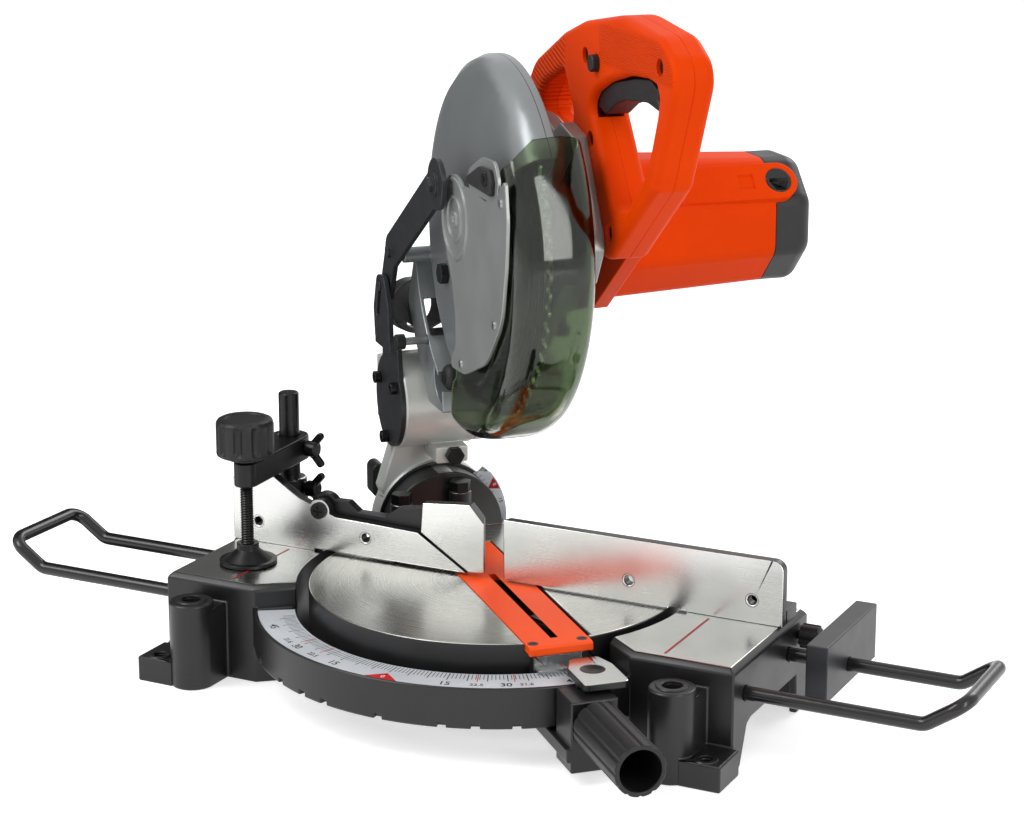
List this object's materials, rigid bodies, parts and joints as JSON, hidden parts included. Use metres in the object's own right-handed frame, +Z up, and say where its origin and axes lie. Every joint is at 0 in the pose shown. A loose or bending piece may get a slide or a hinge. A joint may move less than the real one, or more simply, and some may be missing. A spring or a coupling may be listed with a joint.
{
  "type": "compound miter saw",
  "caption": "Compound miter saw: turning table in a four-footed base, split fence, work holders, vise, tilting arm and chop-down head with blade, guards, motor and loop handle.",
  "frame": {"origin": "on the turn axis of the table, at bench level", "axes": "+X to the operator's right along the fence, +Y from the operator to the back, +Z up"},
  "size_m": [0.786, 0.4534, 0.5083],
  "materials": {
    "black_casting": "semi-gloss black paint",
    "table_casting": "machined top, black painted sides",
    "fence_casting": "machined face",
    "silver_casting": "silver-grey paint",
    "scale_sheet": "satin printed sheet",
    "black_steel": "black coated",
    "bright_steel": "zinc plated",
    "blade_steel": "ground",
    "cover_sheet": "grey coated sheet",
    "black_plastic": "fine texture",
    "orange_plastic": "fine texture",
    "orange_board": "plain",
    "smoke_green": "clear tinted",
    "black_rubber": "matte",
    "motor_iron": "laminated core and windings"
  },
  "bodies": {
    "base": {"base_casting": "black_casting", "scale_plate": "scale_sheet", "base_bolts": "bright_steel", "fence_right": "fence_casting", "fence_left": "fence_casting", "sub_fence_screw": "bright_steel", "vise_rod": "black_steel"},
    "holder_right": {"holder_right": "black_steel"},
    "holder_left": {"holder_left": "black_steel"},
    "set_plate": {"set_plate": "black_steel"},
    "set_plate_screw": {"set_plate_screw": "black_plastic"},
    "rod_clamp_right": {"rod_clamp_right": "black_plastic"},
    "rod_clamp_left": {"rod_clamp_left": "black_plastic"},
    "sub_fence": {"sub_fence": "fence_casting"},
    "vise_arm": {"vise_arm": "black_steel"},
    "vise_arm_screw": {"vise_arm_screw": "black_steel"},
    "vise_rod_screw": {"vise_rod_screw": "black_steel"},
    "vise_foot": {"vise_foot": "black_steel"},
    "vise_screw": {"vise_screw": "black_plastic"},
    "turn_table": {"turn_table": "table_casting", "kerf_board": "orange_board", "table_screws": "bright_steel", "miter_pointer": "black_plastic", "bevel_shaft": "bright_steel"},
    "miter_lever": {"miter_lever": "black_plastic"},
    "miter_grip": {"miter_grip": "black_plastic"},
    "bevel_lever": {"bevel_lever": "black_plastic"},
    "bevel_arm": {"bevel_arm": "silver_casting", "bevel_scale": "scale_sheet", "arm_screws": "bright_steel", "link_bracket": "black_steel", "pivot_shaft": "bright_steel", "pivot_spring": "bright_steel"},
    "link_lever": {"link_lever": "black_steel"},
    "saw_head": {"gear_housing": "silver_casting", "blade_case": "silver_casting", "dust_nozzle": "black_plastic", "head_screws": "bright_steel", "guard_bumper": "black_rubber", "bearings": "bright_steel", "motor_housing": "orange_plastic", "motor_cover": "black_plastic", "motor_field": "motor_iron", "brush_cap": "black_plastic", "handle_left": "orange_plastic", "handle_right": "orange_plastic", "switch_body": "black_plastic"},
    "lower_guard": {"lower_guard": "smoke_green", "guard_cover": "cover_sheet", "guard_dome": "black_rubber"},
    "blade": {"spindle": "bright_steel", "blade_flanges": "bright_steel", "saw_blade": "blade_steel", "blade_bolt": "bright_steel"},
    "rotor": {"armature": "motor_iron", "motor_fan": "black_plastic"},
    "trigger": {"trigger": "black_plastic"},
    "lock_button": {"lock_button": "black_plastic"},
    "shaft_lock": {"shaft_lock": "bright_steel"},
    "stopper_pin": {"stopper_pin": "bright_steel"}
  },
  "joints": [
    {"name": "holder_right_slide", "type": "slide", "parent": "base", "child": "holder_right", "axis": [1, 0, 0], "range_m": [0, 0.05]},
    {"name": "holder_left_slide", "type": "slide", "parent": "base", "child": "holder_left", "axis": [-1, 0, 0], "range_m": [0, 0.05]},
    {"name": "set_plate_slide", "type": "slide", "parent": "holder_right", "child": "set_plate", "axis": [1, 0, 0], "range_m": [0, 0.05]},
    {"name": "set_plate_screw_turn", "type": "hinge", "parent": "set_plate", "child": "set_plate_screw", "pos_m": [0.265, -0.009, 0.052], "axis": [0, 1, 0], "range_deg": [0, 360]},
    {"name": "rod_clamp_right_turn", "type": "hinge", "parent": "base", "child": "rod_clamp_right", "pos_m": [0.238, 0.03, 0.06], "axis": [1, 0, 0], "range_deg": [0, 360]},
    {"name": "rod_clamp_left_turn", "type": "hinge", "parent": "base", "child": "rod_clamp_left", "pos_m": [-0.238, 0.03, 0.06], "axis": [-1, 0, 0], "range_deg": [0, 360]},
    {"name": "sub_fence_flip", "type": "hinge", "parent": "base", "child": "sub_fence", "pos_m": [-0.1507, 0.008, 0.1094], "axis": [0, -1, 0], "range_deg": [0, 100]},
    {"name": "vise_arm_lift", "type": "slide", "parent": "base", "child": "vise_arm", "axis": [0, 0, 1], "range_m": [0, 0.03]},
    {"name": "vise_arm_screw_turn", "type": "hinge", "parent": "vise_arm", "child": "vise_arm_screw", "pos_m": [-0.177, 0.03, 0.1465], "axis": [1, 0, 0], "range_deg": [0, 360]},
    {"name": "vise_rod_screw_turn", "type": "hinge", "parent": "base", "child": "vise_rod_screw", "pos_m": [-0.177, 0.03, 0.114], "axis": [1, 0, 0], "range_deg": [0, 360]},
    {"name": "vise_foot_lift", "type": "slide", "parent": "vise_arm", "child": "vise_foot", "axis": [0, 0, 1], "range_m": [0, 0.035]},
    {"name": "vise_screw_turn", "type": "hinge", "parent": "vise_foot", "child": "vise_screw", "pos_m": [-0.187, -0.0495, 0.13], "axis": [0, 0, 1], "range_deg": [0, 3151]},
    {"name": "miter_turn", "type": "hinge", "parent": "base", "child": "turn_table", "pos_m": [0, 0, 0.04], "axis": [0, 0, 1], "range_deg": [-92, 2]},
    {"name": "miter_lever_press", "type": "hinge", "parent": "turn_table", "child": "miter_lever", "pos_m": [0.14001, -0.12869, 0.0635], "axis": [0.7071, 0.7071, 0], "range_deg": [0, 7], "stiffness_Nm_per_rad": 2, "springref_deg": -2.86},
    {"name": "miter_grip_turn", "type": "hinge", "parent": "turn_table", "child": "miter_grip", "pos_m": [0.18385, -0.18385, 0.044], "axis": [-0.7071, 0.7071, 0], "range_deg": [0, 360]},
    {"name": "bevel_lever_turn", "type": "hinge", "parent": "turn_table", "child": "bevel_lever", "pos_m": [-0.12587, 0.12587, 0.076], "axis": [-0.7071, 0.7071, 0], "range_deg": [-35, 35]},
    {"name": "bevel_tilt", "type": "hinge", "parent": "turn_table", "child": "bevel_arm", "pos_m": [-0.11314, 0.11314, 0.076], "axis": [-0.7071, 0.7071, 0], "range_deg": [-27, 0]},
    {"name": "head_chop", "type": "hinge", "parent": "bevel_arm", "child": "saw_head", "pos_m": [-0.07778, 0.13435, 0.18], "axis": [0.7071, 0.7071, 0], "range_deg": [0, 43], "stiffness_Nm_per_rad": 12, "springref_deg": -74.48},
    {"name": "link_swing", "type": "hinge", "parent": "bevel_arm", "child": "link_lever", "pos_m": [-0.13506, 0.07849, 0.272], "axis": [0.7071, 0.7071, 0], "range_deg": [0, 63.5]},
    {"name": "guard_swing", "type": "hinge", "parent": "saw_head", "child": "lower_guard", "pos_m": [0.01061, 0.01768, 0.333], "axis": [-0.7071, -0.7071, 0], "range_deg": [0, 121.5]},
    {"name": "blade_spin", "type": "hinge", "parent": "saw_head", "child": "blade", "pos_m": [0.01061, 0.01768, 0.333], "axis": [0.7071, 0.7071, 0], "continuous": true},
    {"name": "rotor_spin", "type": "hinge", "parent": "saw_head", "child": "rotor", "pos_m": [0.07425, 0.12374, 0.333], "axis": [0.7071, 0.7071, 0], "continuous": true},
    {"name": "trigger_pull", "type": "hinge", "parent": "saw_head", "child": "trigger", "pos_m": [0.17678, -0.09192, 0.461], "axis": [0.7071, 0.7071, 0], "range_deg": [0, 5], "stiffness_Nm_per_rad": 3, "springref_deg": -3.44},
    {"name": "lock_button_press", "type": "slide", "parent": "saw_head", "child": "lock_button", "axis": [0.7071, 0.7071, 0], "range_m": [0, 0.006], "stiffness_N_per_m": 400, "springref_m": -0.002},
    {"name": "shaft_lock_press", "type": "slide", "parent": "saw_head", "child": "shaft_lock", "axis": [0, 0, 1], "range_m": [0, 0.004], "stiffness_N_per_m": 400, "springref_m": -0.003},
    {"name": "stopper_pin_pull", "type": "slide", "parent": "saw_head", "child": "stopper_pin", "axis": [-0.7071, -0.7071, 0], "range_m": [0, 0.008]}
  ],
  "couplings": [
    {"joint": "guard_swing", "follows": "head_chop", "ratio": 2.8},
    {"joint": "link_swing", "follows": "head_chop", "ratio": 1.46},
    {"joint": "rotor_spin", "follows": "blade_spin", "ratio": -4},
    {"joint": "vise_screw_turn", "follows": "vise_foot_lift", "rad_per_m": 1570.8}
  ]
}
